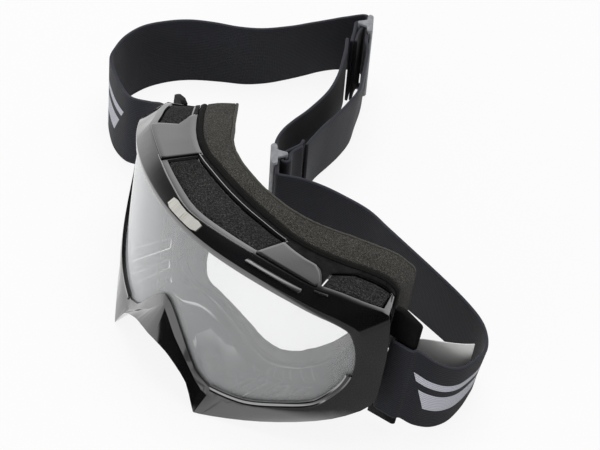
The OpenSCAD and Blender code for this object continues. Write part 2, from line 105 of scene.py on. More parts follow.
class Tree:
    """Short calls for the nodes of one node tree."""

    def __init__(self, tree):
        self.tree = tree

    def new(self, kind, **kw):
        n = self.tree.nodes.new("ShaderNode" + kind)
        for k, v in kw.items():
            if hasattr(n, k) and k not in n.inputs:
                setattr(n, k, v)
            else:
                n.inputs[k.replace("_", " ")].default_value = v
        return n

    def link(self, a, b):
        self.tree.links.new(a, b)

    def put(self, socket, value):
        """Links a socket to another one, or sets it to a constant."""
        if hasattr(value, "links"):
            self.link(value, socket)
        else:
            socket.default_value = value

    def math(self, op, a, b):
        n = self.new("Math", operation=op)
        self.put(n.inputs[0], a)
        self.put(n.inputs[1], b)
        return n.outputs[0]

    def to_range(self, fac, lo, hi, a=0.0, b=1.0, kind="LINEAR"):
        """Takes the range a to b to the range lo to hi."""
        n = self.new("MapRange", interpolation_type=kind)
        for k, v in (("From Min", a), ("From Max", b), ("To Min", lo), ("To Max", hi)):
            n.inputs[k].default_value = v
        self.link(fac, n.inputs["Value"])
        return n.outputs["Result"]

    def parts(self, vector):
        """The x, y and z of a vector."""
        n = self.new("SeparateXYZ")
        self.link(vector, n.inputs[0])
        return n.outputs


class Mat(Tree):
    """A Principled material and short calls for the nodes that feed it."""

    def __init__(self, name, color, rough, **sockets):
        self.material = bpy.data.materials.new(name)
        self.material.use_nodes = True
        super().__init__(self.material.node_tree)
        self.shader = self.tree.nodes["Principled BSDF"]
        self.shader.inputs["Base Color"].default_value = color
        self.shader.inputs["Roughness"].default_value = rough
        for k, v in sockets.items():
            self.shader.inputs[k.replace("_", " ")].default_value = v

    def attribute(self, name, output="Vector"):
        return self.new("Attribute", attribute_name=name).outputs[output]

    def coords(self, scale=(1, 1, 1), attr=None):
        m = self.new("Mapping")
        m.inputs["Scale"].default_value = scale
        source = self.attribute(attr) if attr else self.new("TexCoord").outputs["Object"]
        self.link(source, m.inputs["Vector"])
        return m.outputs["Vector"]

    def noise(self, vec, scale, detail=3.0, rough=0.55):
        n = self.new("TexNoise", Scale=scale, Detail=detail, Roughness=rough)
        self.link(vec, n.inputs["Vector"])
        return n.outputs["Fac"]

    def cells(self, vec, scale):
        n = self.new("TexVoronoi", Scale=scale)
        self.link(vec, n.inputs["Vector"])
        return n.outputs["Distance"]

    def ramp(self, fac, stops):
        n = self.new("ValToRGB")
        e = n.color_ramp.elements
        while len(e) < len(stops):
            e.new(0.5)
        for k, (pos, col) in enumerate(stops):
            e[k].position = pos
            e[k].color = col
        self.link(fac, n.inputs["Fac"])
        return n.outputs["Color"]

    def mix(self, fac, a, b):
        n = self.new("Mix", data_type="RGBA")
        for k, v in ((0, fac), (6, a), (7, b)):
            self.put(n.inputs[k], v)
        return n.outputs[2]

    def color(self, c):
        self.link(c, self.shader.inputs["Base Color"])

    def rough(self, r):
        self.link(r, self.shader.inputs["Roughness"])

    def bump(self, height, dist, strength=1.0, below=None):
        """Relief of a depth in metres, on top of the relief below if there is one."""
        n = self.new("Bump", Strength=strength, Distance=dist)
        self.link(height, n.inputs["Height"])
        if below is not None:
            self.link(below, n.inputs["Normal"])
        self.link(n.outputs["Normal"], self.shader.inputs["Normal"])
        return n.outputs["Normal"]


def gloss_black(name, ior):
    """Polished black plastic with slight unevenness; a higher ior is a stronger mirror."""
    g = Mat(name, srgb(16, 16, 18), 0.12, IOR=ior, Coat_Weight=1.0, Coat_IOR=ior, Coat_Roughness=0.04)
    v = g.coords()
    g.rough(g.to_range(g.noise(v, 60, 4), 0.1, 0.22, 0.3, 0.75))
    g.color(g.ramp(g.noise(v, 22, 3), [(0.3, srgb(10, 10, 11)), (0.75, srgb(19, 19, 21))]))
    g.bump(g.noise(v, 90, 2), 0.00004, 0.15)
    return g.material


def clear_lens():
    """A faint white film that is a painted reflection: even at a straight look, and stronger at a grazing
    look as the reflection of a sheet is.
    """
    g = Mat("clear_lens", srgb(244, 246, 247), 0.05, IOR=1.5, Alpha=0.3)
    v = g.coords((1, 1, 0.25))
    g.rough(g.to_range(g.noise(v, 30, 4), 0.03, 0.1, 0.35, 0.7))
    g.color(g.ramp(g.noise(v, 14, 3), [(0.3, srgb(238, 241, 243)), (0.7, srgb(250, 251, 252))]))
    # The white base colour, which shows more at a grazing look, is the painted reflection of the lens
    grazing = g.new("LayerWeight", Blend=0.5).outputs["Facing"]
    painted_reflection = g.math("ADD", g.math("POWER", grazing, REFLECTION_VEIL_POWER), REFLECTION_VEIL_LEAST)
    g.link(painted_reflection, g.shader.inputs["Alpha"])
    return g.material


def satin_plate():
    g = Mat("satin_plate", srgb(226, 223, 215), 0.3, Metallic=0.35, Coat_Weight=0.4)
    v = g.coords((1, 0.05, 0.05))
    n = g.noise(v, 900, 3)
    g.rough(g.to_range(n, 0.24, 0.42, 0.3, 0.7))
    g.color(g.ramp(n, [(0.3, srgb(216, 213, 204)), (0.7, srgb(236, 234, 227))]))
    g.bump(n, 0.00003, 0.3)
    return g.material


def satin_grey():
    g = Mat("satin_grey_moulding", srgb(146, 148, 152), 0.38, Coat_Weight=0.2)
    v = g.coords()
    g.color(g.ramp(g.noise(v, 260, 4), [(0.3, srgb(130, 132, 136)), (0.7, srgb(162, 164, 168))]))
    g.rough(g.to_range(g.noise(v, 700, 2), 0.32, 0.5, 0.3, 0.7))
    g.bump(g.noise(v, 1400, 2), 0.00003, 0.4)
    return g.material


def foam(name, dark, mid, light, cell, depth, sheen):
    """Open-cell foam: cells of two sizes, pores darkened as painted shade, light flecks."""
    g = Mat(name, mid, 0.95, Sheen_Weight=sheen, Sheen_Roughness=0.6, Specular_IOR_Level=0.2)
    v = g.coords()
    pores = g.math("MULTIPLY", g.cells(v, cell), g.cells(v, cell * 0.45))
    tone = g.ramp(g.noise(v, cell * 1.3, 2, 0.7), [(0.34, dark), (0.52, mid), (0.74, light)])
    tone = g.mix(g.to_range(g.noise(v, 35, 4), 0.0, 0.35, 0.4, 0.7), tone, dark)
    # Darkening the pores paints the shade inside the cells
    g.color(g.mix(g.to_range(pores, 0.0, 0.55, 0.25, 0.0), tone, dark))
    low = g.bump(pores, depth, 0.9)
    g.bump(g.noise(v, cell * 2.2, 3), depth * 0.5, 0.6, low)
    return g.material


def webbing(name, warp, weft, edge, print_at=None):
    """Ribbed elastic webbing with a paler selvedge.

    The attribute 'run' holds metres along, metres across and how near the edge, and 'print' marks the
    outside. print_at gives the start and end, in metres along, of two plain stripes with slanted ends.
    """
    g = Mat(name, warp, 0.8, Sheen_Weight=0.12, Sheen_Roughness=0.5, Specular_IOR_Level=0.3)
    along, across, share = g.parts(g.attribute("run"))

    def wave(x, pitch):
        w = g.math("SINE", g.math("MULTIPLY", x, 2 * math.pi / pitch), 0)
        return g.to_range(w, 0.0, 1.0, -1.0, 1.0)

    def between(x, lo, hi):
        return g.math("MULTIPLY", g.math("GREATER_THAN", x, lo), g.math("LESS_THAN", x, hi))

    ribs, picks = wave(across, RIB_PITCH), wave(along, PICK_PITCH)
    fibre = g.noise(g.coords((1, 1, 1), "run"), 2600, 3)
    tone = g.mix(ribs, weft, warp)
    tone = g.mix(g.to_range(picks, 0.0, 0.3), tone, weft)
    tone = g.mix(g.to_range(fibre, 0.0, 0.4, 0.3, 0.8), tone, edge)
    rim = g.to_range(share, 0.0, 1.0, 0.955, 0.99)
    tone = g.mix(g.math("MULTIPLY", rim, 0.7), tone, edge)
    if print_at:
        slant = g.math("ADD", along, g.math("MULTIPLY", across, STRIPE_SLANT))
        bars = g.math("ADD", *(between(across, lo, hi) for lo, hi in STRIPES))
        outside = g.attribute("print", "Fac")
        ink = g.math("MULTIPLY", g.math("MULTIPLY", between(slant, *print_at), bars), outside)
        worn = g.to_range(fibre, 0.55, 0.98, 0.3, 0.5)
        tone = g.mix(g.math("MULTIPLY", ink, worn), tone, g.mix(ribs, *STRIPE_TONES))
    g.color(tone)
    g.bump(picks, 0.00008, 0.5, g.bump(ribs, 0.00012, 0.7))
    return g.material


# Matte black: the outriggers' finish, and painted shade on the thin sheets laid on the frame where its wall
# lies in shade
def matte_black_and_shade():
    g = Mat("matte_black_and_shade", srgb(12, 12, 12), 0.6, Specular_IOR_Level=0.25)
    v = g.coords()
    n = g.noise(v, 1800, 2)
    g.color(g.ramp(n, [(0.3, srgb(7, 7, 7)), (0.7, srgb(18, 18, 18))]))
    g.rough(g.to_range(g.noise(v, 300, 3), 0.5, 0.75, 0.3, 0.7))
    g.bump(n, 0.00004, 0.5)
    return g.material


def sewing_thread():
    g = Mat("sewing_thread", srgb(58, 59, 64), 0.55, Sheen_Weight=0.2)
    v = g.coords((1, 1, 4))
    n = g.noise(v, 3000, 2)
    g.color(g.ramp(n, [(0.3, srgb(26, 26, 30)), (0.7, srgb(56, 57, 63))]))
    g.bump(n, 0.00003, 0.5)
    return g.material


def label_tape():
    g = Mat("label_tape", srgb(232, 232, 230), 0.7, Sheen_Weight=0.1)
    v = g.coords((1, 1, 1), "run")
    n = g.noise(v, 2200, 3)
    g.color(g.ramp(n, [(0.3, srgb(220, 220, 218)), (0.7, srgb(240, 240, 238))]))
    g.bump(n, 0.00004, 0.5)
    return g.material


GLOSS = gloss_black("gloss_black_plastic", 1.7)
POLISHED = gloss_black("polished_edge", 2.4)
LENS = clear_lens()
PLATE = satin_plate()
GREY = satin_grey()
FACE_FOAM = foam("face_foam", srgb(22, 21, 20), srgb(62, 61, 57), srgb(128, 125, 118), 1700, 0.0003, 0.1)
BASE_FOAM = foam("base_foam", srgb(10, 10, 10), srgb(24, 23, 22), srgb(42, 41, 38), 2600, 0.0002, 0.05)
FLEECE = foam("fleece", srgb(46, 45, 41), srgb(80, 78, 71), srgb(112, 109, 101), 3000, 0.00012, 0.15)
VENT_FOAM = foam("vent_foam", srgb(10, 10, 10), srgb(42, 42, 42), srgb(104, 104, 102), 1300, 0.0004, 0.05)
WEB = webbing("elastic_webbing", *WEB_TONES)
WEB_LEFT = webbing("striped_webbing_left", *WEB_TONES, LEFT_PRINT)
WEB_RIGHT = webbing("striped_webbing_right", *WEB_TONES, RIGHT_PRINT)
TAPE = label_tape()
MATTE_BLACK_AND_SHADE = matte_black_and_shade()
THREAD = sewing_thread()

# Rigid pieces, which keep their CAD shape
BEVEL_ANGLE, SMOOTH_ANGLE = math.radians(24), math.radians(30)


def smooth_group():
    """Node group that shades faces smooth and keeps sharp edges sharp; it is made once."""
    name = "smooth_by_angle"
    group = bpy.data.node_groups.get(name)
    if group is not None:
        return group
    group = bpy.data.node_groups.new(name, "GeometryNodeTree")
    for way in ("INPUT", "OUTPUT"):
        group.interface.new_socket("Geometry", in_out=way, socket_type="NodeSocketGeometry")
    parts, links = group.nodes, group.links
    start, end = parts.new("NodeGroupInput"), parts.new("NodeGroupOutput")
    drop = parts.new("GeometryNodeRemoveAttribute")
    drop.inputs["Name"].default_value = "custom_normal"
    faces = parts.new("GeometryNodeSetShadeSmooth")
    edges = parts.new("GeometryNodeSetShadeSmooth")
    edges.domain = "EDGE"
    edges.inputs["Shade Smooth"].default_value = False
    angle = parts.new("GeometryNodeInputMeshEdgeAngle")
    more = parts.new("FunctionNodeCompare")
    more.inputs[1].default_value = SMOOTH_ANGLE
    links.new(start.outputs[0], drop.inputs[0])
    links.new(drop.outputs[0], faces.inputs["Geometry"])
    links.new(faces.outputs[0], edges.inputs["Geometry"])
    links.new(angle.outputs["Unsigned Angle"], more.inputs[0])
    links.new(more.outputs[0], edges.inputs["Selection"])
    links.new(edges.outputs[0], end.inputs[0])
    return group


def soften(obj, width):
    """Rounds the sharp edges by modifiers only and shades the rest smoothly."""
    weld = obj.modifiers.new("weld", "WELD")
    weld.merge_threshold = 1e-5
    if width:
        bevel = obj.modifiers.new("round", "BEVEL")
        bevel.width = width
        bevel.segments = 2
        bevel.limit_method = "ANGLE"
        bevel.angle_limit = BEVEL_ANGLE
    obj.modifiers.new("smooth", "NODES").node_group = smooth_group()


def dress(node, material, width):
    """Material and edge rounds of a CAD node."""
    for s in nodes[node].material_slots:
        s.material = material
    soften(nodes[node], width)


dress("frame", GLOSS, 0.0003)
# The outriggers' matte black also darkens the foot under the strap, as painted shade
dress("outrigger_left", MATTE_BLACK_AND_SHADE, 0.0003)
dress("outrigger_right", MATTE_BLACK_AND_SHADE, 0.0003)
dress("lens", LENS, 0)
dress("centre_badge", PLATE, 0.00012)

# Rails of the frame, as in the source
# Each goes down the left half, and its mirror closes it. OPENING, REAR, EYE and FOAM hold x and z, and
# CREST holds x, the depth behind the lens's arc, and z. SOFT is the share of the tangent at each
# station. FACE_DEPTH and FOAM_GROWTH are lines over |x|.
LENS_R, LENS_T, LENS_BITE, LENS_PLAY = 114.0, 1.0, 2.2, 0.3
WALL_T, LIP_T, LEAN = 2.0, 1.5, math.radians(8)
OPENING = [[0, 34.8], [18, 34.9], [34, 34.7], [48, 33.6], [61, 31.4], [71.2, 28.6],
           [78.2, 26.6], [83.4, 23], [86.4, 13], [87.2, 1], [85, -11], [78.4, -23.4],
           [67, -30.6], [51, -38], [35, -39.6], [25, -34.5], [14.5, -21.5], [5, -10.5], [0, -8]]
CREST = [[0, 3.4, 41.8], [19, 5.4, 41.8], [36, 6.5, 41.7], [50, 6.6, 40.5],
         [64.9, 5.3, 38.8], [72, 7.8, 36.6], [79.8, 9.2, 33.8], [87.5, 11.7, 29.6], [92.5, 4, 17],
         [94.5, 0.5, 1], [95.5, -4, -17], [84.6, -1.6, -30.5], [66.8, -1.6, -41.2], [48.2, -4.6, -49.1],
         [34.3, -8.7, -53], [26.5, -7.5, -39.5], [15, -8, -31.5], [6, -9, -28.6], [0, -9.5, -28]]
REAR = [[0, 38.8], [18, 38.8], [34, 38.6], [47, 38.2], [65, 36.6], [70, 35.4],
        [74, 33.4], [77, 28.5], [77, 15], [77, 0], [75.5, -15], [70, -28], [60, -37],
        [47, -43], [36, -44.2], [26, -43], [16, -38.4], [7, -36], [0, -35]]
EYE = [[0, 30], [17, 30], [33, 30], [45, 29.5], [55, 28], [61, 25], [65, 20],
       [67.5, 13], [68.5, 6], [68.5, -2], [66.5, -11], [61, -21], [53, -29], [44, -34],
       [34, -36.4], [25, -35.6], [16, -32.4], [8, -30.6], [0, -29.8]]
FOAM = [[0, 42], [18, 42], [34, 42], [47, 41.4], [58, 40.4], [68, 39], [76.5, 36.3],
        [82.5, 30], [83.5, 15], [83.5, 0], [81, -15], [73.5, -29], [61, -38.2],
        [47, -43.6], [36, -44.8], [26, -43.6], [16, -39], [7, -36.6], [0, -35.6]]
SOFT = [1, 1, 0.6, 1, 0.5, 1, 1, 0.7, 1, 1, 0.8, 0.8, 1, 1, 0.15, 0.8, 1, 1, 1]
FACE_DEPTH = [[0, 34], [20, 33.2], [36, 30.8], [48, 30.9], [60, 32.9], [70, 35], [80, 35.7], [92, 33.3]]
FOAM_GROWTH = [[0, 0], [20, 1], [36, 4], [56, 7], [70, 7], [80, 7], [92, 7]]
FOAM_BROW_T, FOAM_NOSE_T, FOAM_BASE_T, FLEECE_T = 12.0, 7.0, 3.0, 1.5
GAP, GLUE = 0.3, 0.1
COUNT = len(OPENING) * 2 - 2
NOTCH_STATION, NOTCH_PULL, NOSE_STATION = 4, 5, 14
WINDOW_ROWS = (0.16, 0.5, 0.86)
OUTWARD_STEP = 1 / 3


def unit(v):
    """Vectors of length one."""
    return v / np.maximum(np.linalg.norm(v, axis=-1, keepdims=True), 1e-9)


def lerp(a, b, t):
    return a + (b - a) * t


def hermite(p0, p1, m0, m1, t):
    """Curve from p0 to p1 with the tangents m0 and m1."""
    return ((2 * t**3 - 3 * t**2 + 1) * p0 + (t**3 - 2 * t**2 + t) * m0
            + (3 * t**2 - 2 * t**3) * p1 + (t**3 - t**2) * m1)


def closed(rail):
    """A rail and its mirror."""
    a = np.array(rail, float)
    b = a[-2:0:-1].copy()
    b[:, 0] *= -1
    return np.vstack([a, b])


SOFT_RING = np.array(SOFT + SOFT[-2:0:-1])


def rail_at(rail, u):
    """Point of a closed rail at station u, which may lie between two stations."""
    u = np.atleast_1d(np.asarray(u, float))
    p = closed(rail)
    i = np.floor(u).astype(int)
    t = (u - i)[:, None]
    a, b, c, d = (p[(i + k) % COUNT] for k in (-1, 0, 1, 2))
    return hermite(b, c, (c - a) / 2 * SOFT_RING[i % COUNT][:, None],
                   (d - b) / 2 * SOFT_RING[(i + 1) % COUNT][:, None], t)


def from_brow(u):
    """Stations between u and the brow centre, on either side."""
    return np.minimum(np.mod(u, COUNT), COUNT - np.mod(u, COUNT))


def lowness(u):
    """0 at the brow centre and 1 at the nose."""
    return (1 - np.cos(2 * np.pi * u / COUNT)) / 2


def arc_y(x):
    """Depth of the lens's arc."""
    return LENS_R - np.sqrt(LENS_R**2 - x**2)


def along(line, x):
    """Value of a line of (x, value) pairs at |x|."""
    q = np.array(line, float)
    return np.interp(np.abs(x), q[:, 0], q[:, 1])


def face_y(x):
    """Depth of the flange that carries the face foam, averaged over its neighbourhood."""
    x = np.abs(x)
    deep = along(FACE_DEPTH, x - 6) + 2 * along(FACE_DEPTH, x) + along(FACE_DEPTH, x + 6)
    return arc_y(x) + deep / 4


def face_slope(x):
    """Slope of the flange against x."""
    return (face_y(np.abs(x) + 1) - face_y(np.abs(x) - 1)) / 2 * np.sign(x)


def outward(rail, u):
    """Direction out of a closed rail, in its own plane."""
    d = unit(rail_at(rail, u + OUTWARD_STEP)[:, :2] - rail_at(rail, u - OUTWARD_STEP)[:, :2])
    return np.stack([-d[:, 1], d[:, 0]], 1)


def wall_ends(u):
    """The crest and the back edge of the frame's outer wall."""
    c, r = rail_at(CREST, u), rail_at(REAR, u)
    return (np.stack([c[:, 0], arc_y(c[:, 0]) + c[:, 1], c[:, 2]], 1),
            np.stack([r[:, 0], face_y(r[:, 0]), r[:, 1]], 1))


def wall(start, back, u):
    """Three rows of points across the outer wall; the middle one moves in at the notch."""
    rows = [lerp(start, back, f) for f in WINDOW_ROWS]
    pull = np.maximum(0, 1 - np.abs(from_brow(u) - NOTCH_STATION)) * NOTCH_PULL * np.sign(rows[1][:, 0])
    rows[1] = rows[1] - np.stack([pull, 0 * pull, 0 * pull], 1)
    return rows


def wall_rows(u):
    """The same rows from the crest to the back edge, as one array."""
    return np.stack(wall(*wall_ends(u), u), 1)


def leaned(p):
    """The frame's own directions after it leans back."""
    c, s = math.cos(LEAN), math.sin(LEAN)
    return np.stack([p[..., 0], p[..., 1] * c + p[..., 2] * s, -p[..., 1] * s + p[..., 2] * c], -1)


def stood(p):
    """Points of the frame's own axes, where the frame stands in the part."""
    return leaned(np.asarray(p, float)) + SHIFT


def add_mesh(name, points, faces):
    """Smooth object from points in millimetres."""
    mesh = bpy.data.meshes.new(name)
    mesh.from_pydata([tuple(p) for p in np.asarray(points) / 1000], [], faces)
    mesh.validate()
    mesh.polygons.foreach_set("use_smooth", [True] * len(mesh.polygons))
    mesh.update()
    obj = bpy.data.objects.new(name, mesh)
    scene.collection.objects.link(obj)
    return obj


def tube_faces(n, m, base=0, ends="capped"):
    """Faces of a tube of n rings with m points each; its ends are capped, open or joined."""
    last = n if ends == "joined" else n - 1
    faces = [(i * m + j, i * m + (j + 1) % m, (i + 1) % n * m + (j + 1) % m, (i + 1) % n * m + j)
             for i in range(last) for j in range(m)]
    if ends == "capped":
        faces += [tuple(range(m))[::-1], tuple(range((n - 1) * m, n * m))]
    return [tuple(base + k for k in f) for f in faces]


def slab_faces(columns, lines, base=0):
    """Faces of a closed slab; its points are an upper grid of columns by lines, then a lower one."""
    m = lines + 1
    half = (columns + 1) * m
    faces = []
    for i in range(columns):
        for j in range(lines):
            a = base + i * m + j
            b = a + half
            faces += [(a, a + 1, a + m + 1, a + m), (b, b + m, b + m + 1, b + 1)]
    rim = [i * m for i in range(columns + 1)] + [columns * m + j for j in range(1, m)]
    rim += [i * m + lines for i in range(columns - 1, -1, -1)] + list(range(lines - 1, 0, -1))
    rim = [base + a for a in rim]
    return faces + [(a, b, b + half, a + half) for a, b in zip(rim, rim[1:] + rim[:1])]


def face_outward(obj):
    """Makes the faces of a closed solid look outward."""
    b = bmesh.new()
    b.from_mesh(obj.data)
    bmesh.ops.recalc_face_normals(b, faces=b.faces)
    b.to_mesh(obj.data)
    b.free()
    obj.data.update()


def finish_piece(obj, material, body, slot, *replaced):
    """Material, body and the nodes that the piece stands for. The slot is not used."""
    obj.data.materials.append(material)
    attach(obj, body)
    if replaced:
        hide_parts(*replaced)
    return obj


def grain(points, normals, amp, size):
    """Small uneven relief along the normals."""
    relief = [noise.noise(Vector(p) / size) + 0.5 * noise.noise(Vector(p) / size * 2.3) for p in points]
    return points + normals * (amp * np.array(relief))[:, None]


# Face foam
# Its lap past the flange's outer edge, its step back from the eye opening, and the parts of each side
FOAM_LAP, FOAM_STEP = 0.6, 0.4
FOAM_PARTS = (6, 8, 6, 6)
STATIONS = np.arange(0, COUNT, 1 / 8)


def rounded(corners, radii, parts, bulge):
    """Section with rounded corners and crowned sides; corners are arrays of equal rows."""
    centre = sum(corners) / len(corners)
    out = []
    k = len(corners)
    for q in range(k):
        a, b, c = corners[q - 1], corners[q], corners[(q + 1) % k]
        p0, p1 = b + unit(a - b) * radii[q], b + unit(c - b) * radii[q]
        for t in (0, 0.25, 0.5, 0.75, 1):
            out.append((1 - t)**2 * p0 + 2 * t * (1 - t) * b + t * t * p1)
        e0, e1 = p1, c + unit(b - c) * radii[(q + 1) % k]
        push = unit((e0 + e1) / 2 - centre)
        for s in range(1, parts[q]):
            t = s / parts[q]
            out.append(e0 + (e1 - e0) * t + push * bulge[q] * math.sin(math.pi * t))
    return np.stack(out, 1)


def off_face(p, t):
    """Points at depth t off the flange, over the places p."""
    a = np.arctan(face_slope(p[:, 0]))
    return np.stack([p[:, 0] - np.sin(a) * t, face_y(p[:, 0]) + np.cos(a) * t, p[:, 1]], 1)


def foam_layer(name, start, end, radii, bulge, amp, size, material, slot, node):
    """One layer of the face foam. Its start and end depths are each (mm, share of the whole depth)."""
    u = STATIONS
    outer, eye, rear = rail_at(FOAM, u), rail_at(EYE, u), rail_at(REAR, u)
    depth = FOAM_BROW_T + along(FOAM_GROWTH, outer[:, 0]) - (FOAM_BROW_T - FOAM_NOSE_T) * lowness(u)**2
    rim = rear + FOAM_LAP * outward(REAR, u)
    inner = eye + FOAM_STEP * outward(EYE, u)
    low, top = start[0] + start[1] * depth, end[0] + end[1] * depth
    outer_low = off_face(rim + (outer - rim) * (low / depth)[:, None], low)
    outer_top = off_face(rim + (outer - rim) * (top / depth)[:, None], top)
    inner_low, inner_top = off_face(inner, low), off_face(inner, top)
    section = stood(rounded([outer_low, outer_top, inner_top, inner_low], radii, FOAM_PARTS, bulge))
    points = section.reshape(-1, 3)
    obj = add_mesh(name, points, tube_faces(*section.shape[:2], ends="joined"))
    points = grain(points, np.array([v.normal for v in obj.data.vertices]), amp, size)
    obj.data.vertices.foreach_set("co", (points / 1000).ravel())
    obj.data.update()
    return finish_piece(obj, material, "goggles", slot, node)


foam_layer("face_foam_base_pad", (GAP, 0), (GAP + FOAM_BASE_T, 0), (0.9, 0.7, 0.6, 0.6),
           (0.25, 0, 0.1, 0), 0.12, 3.0, BASE_FOAM, "foam_dark", "face_foam_base")
foam_layer("face_foam_pad", (GAP + FOAM_BASE_T + GLUE, 0), (-FLEECE_T - GLUE, 1), (0.8, 0.8, 0.7, 0.7),
           (0.5, 0, 0.3, 0), 0.18, 4.0, FACE_FOAM, "foam_olive", "face_foam")
foam_layer("face_fleece_skin", (-FLEECE_T, 1), (0, 1), (0.35, 1.1, 1.1, 0.35),
           (0.1, 0.15, 0.1, 0), 0.14, 2.0, FLEECE, "foam_olive", "face_fleece")

# Vent foams; a window is given by its two stations
VENT_STEPS, VENT_GAP, VENT_T = 14, 0.55, 5.0
VENT_SINK, VENT_ROLL, VENT_RISE, VENT_GRAIN = 0.5, 0.7, 3, (0.16, 1.6)
SIDE_WINDOWS = [(4.0, 6 + 2 / 3)]
LOW_WINDOWS = [(12 + 2 * k / 3, 12 + (1 + 2 * k) / 3) for k in range(3)]


def flipped(windows):
    """The same windows on the wearer's right."""
    return [(COUNT - b, COUNT - a) for a, b in windows]


def vent(name, windows, depth, node, crown=0.25, steps=None):
    """Foam plugs with soft edges, one for each window."""
    points, faces = [], []
    lines = VENT_STEPS
    for start, end in windows:
        columns = steps or max(8, int(abs(end - start) * VENT_STEPS))
        span = wall_rows(np.array([start, end]))
        width = np.linalg.norm(span[0, 1] - span[1, 1])
        gap = VENT_GAP / width * (end - start)
        stations = np.linspace(start + gap, end - gap, columns + 1)
        rows = wall_rows(stations)
        out = outward(OPENING, stations)
        inward = np.stack([-out[:, 0], 0 * stations, -out[:, 1]], 1)
        length = np.linalg.norm(rows[:, 2] - rows[:, 0], axis=1).mean()
        margin = VENT_GAP / length
        top = np.zeros((columns + 1, lines + 1, 3))
        for j, share in enumerate(margin + np.linspace(0, 1, lines + 1) * (1 - 2 * margin)):
            k, t = (0, share * 2) if share < 0.5 else (1, share * 2 - 1)
            top[:, j] = lerp(rows[:, k], rows[:, k + 1], t)
        from_ends = np.minimum(np.arange(columns + 1), columns - np.arange(columns + 1)) / columns * width
        from_sides = np.minimum(np.arange(lines + 1), lines - np.arange(lines + 1)) / lines * length
        edge = np.minimum(from_ends[:, None], from_sides[None, :])
        crowned = crown * (1 - np.exp(-edge / VENT_RISE))
        sink = VENT_SINK + VENT_ROLL * np.exp(-edge / VENT_ROLL) - crowned
        upper = stood(top + inward[:, None] * sink[..., None]).reshape(-1, 3)
        lower = stood(top + inward[:, None] * depth).reshape(-1, 3)
        upper = grain(upper, leaned(-np.repeat(inward, lines + 1, axis=0)), *VENT_GRAIN)
        faces += slab_faces(columns, lines, len(points))
        points += [*upper.tolist(), *lower.tolist()]
    obj = add_mesh(name, points, faces)
    face_outward(obj)
    return finish_piece(obj, VENT_FOAM, "goggles", "foam_dark", node)


vent("vent_foam_centre_plug", [(-2.0, 2.0)], VENT_T, "vent_foam_centre")
vent("vent_foam_left_plug", SIDE_WINDOWS, VENT_T, "vent_foam_left")
vent("vent_foam_right_plug", flipped(SIDE_WINDOWS), VENT_T, "vent_foam_right")
vent("vent_foam_lower_left_plug", LOW_WINDOWS, WALL_T, "vent_foam_lower_left", 0.0, 8)
vent("vent_foam_lower_right_plug", flipped(LOW_WINDOWS), WALL_T, "vent_foam_lower_right", 0.0, 8)

# Mouldings on the frame
# They lie on its skin, where u is a station and s goes from the lens edge to the back
SKIN_KEYS = np.array([-2, -1, 0, *WINDOW_ROWS, 1])
BEVEL_TOP, BEVEL_LOW = (3.4, 0.0), (5.0, 1.2)
GROOVE_D = LENS_BITE + 0.4
CORE_SHARE, CORE_DEPTH = 0.5, 22
STEP_U, STEP_S = 0.02, 0.01
MOULDING_STEPS, MOULDING_ROUND, PANEL_ROUND = 10, 0.00016, 0.0002
LEVEL_POINTS = 6


def on_arc(p, d):
    """Points at distance d in front of or behind the lens's arc."""
    return np.stack([p[:, 0], arc_y(p[:, 0]) + d / np.sqrt(1 - (p[:, 0] / LENS_R)**2), p[:, 1]], 1)


def skin(u, s):
    """Point of the frame's outside: s runs from -2 at the lens edge to 0 on the crest and 1 at the back."""
    edge, out = rail_at(OPENING, u), outward(OPENING, u)
    crest, back = wall_ends(u)
    low = lowness(u)
    reach = np.linalg.norm(crest[:, [0, 2]] - edge, axis=1)
    bevel_w, bevel_d = (lerp(a, b, low) for a, b in zip(BEVEL_TOP, BEVEL_LOW))
    mid = edge + out * np.minimum(bevel_w, reach / 2)[:, None]
    lip = -LENS_PLAY - LIP_T * 0.6
    over = np.clip((from_brow(u) - NOSE_STATION) / 2, 0, 1)[:, None]
    under = on_arc(edge + out * (GROOVE_D + WALL_T), LENS_T + LENS_PLAY + WALL_T)
    rows = [on_arc(edge, lip), on_arc(mid, lip - bevel_d), crest]
    rows = np.stack([*rows, *wall(lerp(crest, under, over), back, u), back], 1)
    k = np.clip(np.searchsorted(SKIN_KEYS, s, side="right") - 1, 0, len(SKIN_KEYS) - 2)
    i = np.arange(len(u))
    t = (s - SKIN_KEYS[k]) / (SKIN_KEYS[k + 1] - SKIN_KEYS[k])
    return lerp(rows[i, k], rows[i, k + 1], t[:, None])


def skin_frame(u, s):
    """Point, direction of growing s and outward normal, which points away from the core."""
    p = skin(u, s)
    du = skin(u + STEP_U, s) - skin(u - STEP_U, s)
    ds = skin(u, s + STEP_S) - skin(u, s - STEP_S)
    n = unit(np.cross(du, ds))
    core = np.stack([CORE_SHARE * p[:, 0], arc_y(p[:, 0]) + CORE_DEPTH, CORE_SHARE * p[:, 2]], 1)
    n *= np.sign(((p - core) * n).sum(1))[:, None]
    return p, unit(ds), n


def moulding(name, path, section):
    """Closed bar along a path of (u, s) points; the section holds (across, proud) pairs in mm."""
    stops = np.array(path, float)
    steps = np.linspace(0, len(stops) - 1, (len(stops) - 1) * MOULDING_STEPS + 1)
    u, s = (np.interp(steps, np.arange(len(stops)), stops[:, c]) for c in (0, 1))
    places, side, normal = skin_frame(u, s)
    forward = unit(np.gradient(places, axis=0))
    side = unit(side - forward * (side * forward).sum(1)[:, None])
    normal = unit(normal - forward * (normal * forward).sum(1)[:, None]
                  - side * (normal * side).sum(1)[:, None])
    bar = np.stack([places + side * across + normal * proud for across, proud in section], 1)
    obj = add_mesh(name, stood(bar).reshape(-1, 3), tube_faces(len(steps), len(section)))
    face_outward(obj)
    soften(obj, MOULDING_ROUND)
    return finish_piece(obj, POLISHED, "goggles", "frame_plastic")


